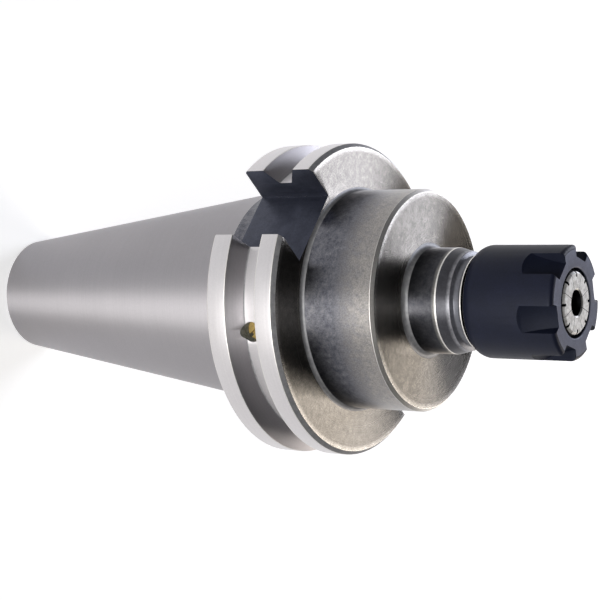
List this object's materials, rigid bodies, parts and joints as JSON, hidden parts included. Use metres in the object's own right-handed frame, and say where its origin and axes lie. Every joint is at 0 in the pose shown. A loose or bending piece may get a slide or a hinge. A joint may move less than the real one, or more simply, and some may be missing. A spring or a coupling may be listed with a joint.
{
  "type": "collet chuck holder",
  "caption": "Steep-taper tool holder with a grooved drive flange, a stepped round nose and a slim slotted nut that closes a slit collet on round cutter shanks.",
  "frame": {"origin": "centre of the small end face of the taper, on which the holder stands", "axes": "+Z along the holder's axis towards the nose and collet; -Y through the middle of the deeper drive slot"},
  "size_m": [0.0636, 0.0614, 0.1347],
  "materials": {
    "holder_steel": "ground taper and flange rim, worn black oxide on the nose and faces",
    "plug_brass": "dull machined brass",
    "screw_steel": "black oxide",
    "collet_steel": "bright ground steel",
    "nut_black": "smooth blue-black coating"
  },
  "bodies": {
    "holder": {"holder_body": "holder_steel", "coolant_plugs": "plug_brass"},
    "screw": {"stop_screw": "screw_steel"},
    "collet_body": {"collet": "collet_steel"},
    "nut": {"collet_nut": "nut_black"}
  },
  "joints": [
    {"name": "nut_turn", "type": "hinge", "parent": "collet_body", "child": "nut", "pos_m": [0, 0, 0.12555], "axis": [0, 0, 1], "range_deg": [0, 2880]},
    {"name": "collet_travel", "type": "slide", "parent": "holder", "child": "collet_body", "axis": [0, 0, 1], "range_m": [0, 0.008]},
    {"name": "stop_screw_travel", "type": "slide", "parent": "holder", "child": "screw", "axis": [0, 0, 1], "range_m": [-0.0065, 0.004]}
  ],
  "couplings": [
    {"joint": "nut_turn", "follows": "collet_travel", "rad_per_m": 6283.2}
  ]
}
